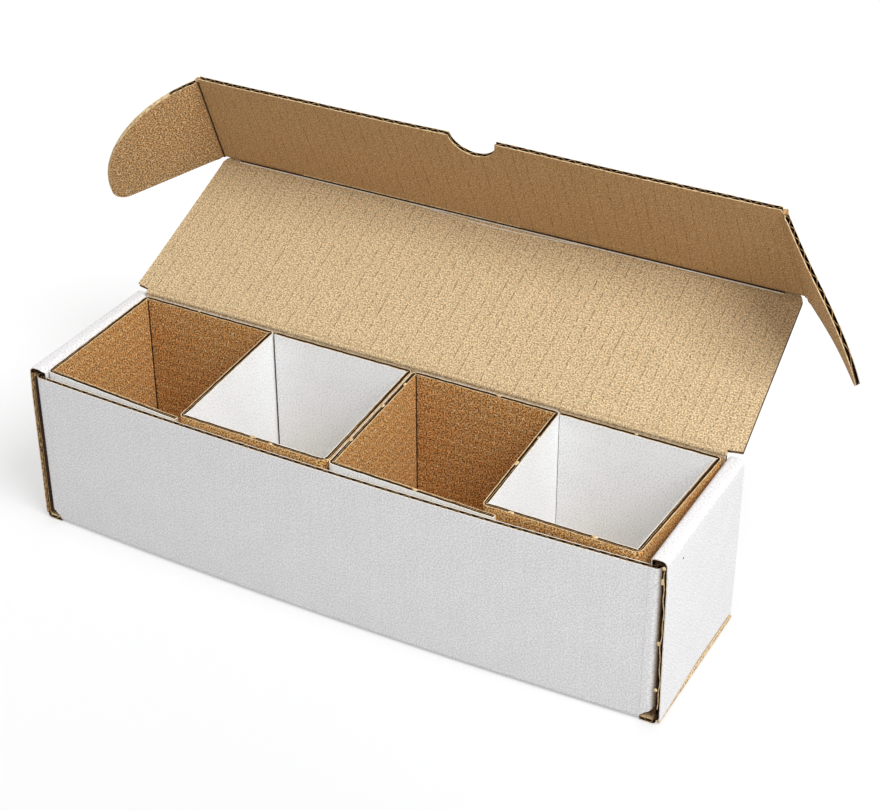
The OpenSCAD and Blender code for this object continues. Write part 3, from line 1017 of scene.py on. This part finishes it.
class DividersOperator(bpy.types.Operator):
    """Makes the two dividers, each a strip folded into an S with a cell in each bay"""

    bl_idname = "mailer.dividers"
    bl_label = "Dividers"

    def execute(self, context):
        """Makes both strips, with their flecks."""
        board = Board(context.scene)
        divider = context.scene.mailer_divider
        lean = divider.lean * MM / 2
        back = board.half_d - board.t - GAP - board.half
        edge_x = board.inner_x - GAP - board.half
        middle = SLIT + board.half
        left, right = -divider.left_partition * MM, divider.right_partition * MM
        stood_off = board.inner_x - 1.2 - board.half

        def front(x):
            """The front wall's inner side at x, where a divider's front lies against its bow."""
            return -back - board.bowed(x)

        # For each strip: the radius of its last fold, its plan from its free front end round both
        # bays to its free back end, and its flecks as x, y and half a length.
        strips = {
            "left": (
                3.5,
                [
                    (left - board.half - 0.5, None), (-edge_x, None), (-edge_x, back),
                    (left - lean, back), (left + lean, None), (lean - middle, None),
                    (-lean - middle, back), (left - lean + 2.3, back),
                ],
                [(-37.7, -41.0, 1.5), (-28.0, -41.0, 1.2), (-120.0, 38.0, 0.8)],
            ),
            "right": (
                2.6,
                [
                    (right + 7.5, None), (middle + lean, None), (middle - lean, back),
                    (right - lean, back), (right + lean, front(right) + board.t + 0.5),
                    (stood_off - 4, None), (stood_off, back), (right - lean + 1.6, back),
                ],
                [
                    (1.2, 7.3, 1.3), (0.5, 27.3, 1.1), (2.4, -22.8, 1.2), (44.0, -41.0, 1.3),
                    (43.0, 38.0, 1.2), (74.5, -5.5, 1.6), (73.6, 16.0, 1.0), (88.0, -38.0, 1.4),
                    (126.0, -39.0, 1.5), (111.0, 38.0, 0.9),
                ],
            ),
        }
        for name, (bend, plan, flecks) in strips.items():
            plan = [(x, front(x) if y is None else y) for x, y in plan]
            make_piece(
                context, f"divider_{name}_board", f"divider_{name}", "tray",
                divider_strip(board, divider, plan, bend, flecks),
                "divider_kraft", "divider_white", 0.05, 0.8,
            )
        return {"FINISHED"}


# ---------------------------------------------------------------------------------------------
# Stage


def stand(scene, name, data, at, axes):
    """Puts a lamp or a camera at a place, with the directions of its own X, Y and Z."""
    item = bpy.data.objects.new(name, data)
    item.matrix_world = Matrix.Translation(at) @ Matrix(np.stack(axes, 1).tolist()).to_4x4()
    scene.collection.objects.link(item)
    return item


def rays(tree, one, other):
    """Gives 1 for rays of either kind and 0 for the rest."""
    path = add(tree, "ShaderNodeLightPath").outputs
    return add(tree, MATH, {"operation": "MAXIMUM"}, {0: path[one], 1: path[other]})


class StageOperator(bpy.types.Operator):
    """Makes the pale floor, the soft lamp, the even sky and the camera"""

    bl_idname = "mailer.stage"
    bl_label = "Studio"

    def execute(self, context):
        """Makes the studio around the box."""
        scene = context.scene
        studio = scene.mailer_studio
        mesh = bpy.data.meshes.new("floor")
        reach, level = 9.0, -0.0002
        mesh.from_pydata([
            (x * reach, y * reach, level) for x, y in ((-1, -1), (1, -1), (1, 1), (-1, 1))
        ], [], [(0, 1, 2, 3)])
        floor = bpy.data.objects.new("floor", mesh)
        scene.collection.objects.link(floor)
        # Pale painted floor: matt, and lifted to white for the camera and for gloss, where the
        # box's soft shadow still shows.
        material, tree = new_material("pale_painted_floor")
        seen = rays(tree, "Is Camera Ray", "Is Glossy Ray")
        away = add(tree, "ShaderNodeVectorMath", {"operation": "DISTANCE", 1: (0.15, -0.25, 0)}, {
            0: add(tree, "ShaderNodeTexCoord").outputs["Object"],
        }).outputs["Value"]
        share = add(
            tree, RAMP, {1: 0.1, 2: 1.0, 3: studio.near_lift, 4: studio.far_lift}, {0: away}
        )
        lift = add(tree, MATH, {"operation": "MULTIPLY"}, {0: seen, 1: share})
        shader = add(tree, SURFACE, {
            "Base Color": rgba(scene.mailer_finish.floor), "Roughness": 0.9,
            "Specular IOR Level": 0.1, "Emission Color": (1.0, 1.0, 1.0, 1.0),
        }, {"Emission Strength": lift})
        add(tree, "ShaderNodeOutputMaterial", None, {"Surface": shader})
        mesh.materials.append(material)

        world = bpy.data.worlds.new("even_sky")
        scene.world = world
        world.use_nodes = True
        tree = world.node_tree
        tree.nodes.clear()
        seen = rays(tree, "Is Camera Ray", "Is Transmission Ray")
        power = add(tree, RAMP, {3: studio.sky, 4: 1.0}, {0: seen})
        tint = add(tree, MIX, {
            "data_type": "RGBA", 6: (1.0, 0.99, 0.98, 1.0), 7: (1.0, 1.0, 1.0, 1.0),
        }, {0: seen})
        sky = add(tree, "ShaderNodeBackground", None, {
            "Color": tint.outputs[2], "Strength": power,
        })
        add(tree, "ShaderNodeOutputWorld", None, {"Surface": sky})

        lamp = bpy.data.lights.new("key_lamp", "AREA")
        lamp.energy = studio.key
        lamp.size = 1.1
        lamp.color = (0.97, 0.985, 1.0)
        at, aim = (1.16, -0.42, 1.6), (0, 0.02, 0.06)
        back = np.array(at) - aim
        back /= np.linalg.norm(back)
        right = np.cross((0, 0, 1), back)
        right /= np.linalg.norm(right)
        stand(scene, "key_lamp", lamp, at, (right, np.cross(back, right), back))

        # Camera, from a fit of the box's corners to the photograph, in metres and degrees.
        eye = (0.389696, -0.651614, 0.563901)
        yaw, pitch, roll = np.radians([-28.649, 32.085, -0.171])
        ahead = np.array([np.sin(yaw) * np.cos(pitch), np.cos(yaw) * np.cos(pitch), -np.sin(pitch)])
        right = np.array([np.cos(yaw), -np.sin(yaw), 0.0])
        up = np.cross(right, ahead)
        turned = right * np.cos(roll) + up * np.sin(roll), up * np.cos(roll) - right * np.sin(roll)
        camera = bpy.data.cameras.new("camera")
        camera.sensor_fit = "HORIZONTAL"
        camera.sensor_width = 36.0
        camera.lens = 82.23
        camera.clip_start = 0.01
        scene.camera = stand(scene, "camera", camera, eye, (*turned, -ahead))
        scene.view_settings.view_transform = "Standard"
        return {"FINISHED"}


PIECES = (TrayOperator, LidOperator, FlapOperator, EarsOperator, DividersOperator, StageOperator)
SETTINGS = {
    "mailer_board": BoardSettings,
    "mailer_box": BoxSettings,
    "mailer_divider": DividerSettings,
    "mailer_finish": FinishSettings,
    "mailer_studio": StudioSettings,
}


class MailerPanel(bpy.types.Panel):
    """Lists the box's pieces and their sizes in the sidebar"""

    bl_idname = "MAILER_PT_pieces"
    bl_label = "Mailing Box"
    bl_space_type = "VIEW_3D"
    bl_region_type = "UI"
    bl_category = "Mailing Box"

    def draw(self, context):
        """Draws one button for each piece, and the settings below."""
        for piece in PIECES:
            self.layout.operator(piece.bl_idname)
        for group in SETTINGS:
            settings = getattr(context.scene, group)
            for name in settings.bl_rna.properties.keys():
                if name not in {"rna_type", "name"}:
                    self.layout.prop(settings, name)


def register():
    """Registers the settings, the operators and the panel."""
    for name, group in SETTINGS.items():
        bpy.utils.register_class(group)
        setattr(bpy.types.Scene, name, bpy.props.PointerProperty(type=group))
    for kind in (*PIECES, MailerPanel):
        bpy.utils.register_class(kind)


def unregister():
    """Removes what register added."""
    for kind in (MailerPanel, *reversed(PIECES)):
        bpy.utils.unregister_class(kind)
    for name, group in reversed(list(SETTINGS.items())):
        delattr(bpy.types.Scene, name)
        bpy.utils.unregister_class(group)


def main():
    """Makes every piece in order."""
    register()
    bpy.ops.mailer.tray()
    bpy.ops.mailer.lid()
    bpy.ops.mailer.tuck_flap()
    bpy.ops.mailer.ears()
    bpy.ops.mailer.dividers()
    bpy.ops.mailer.stage()


if __name__ == "__main__":
    main()
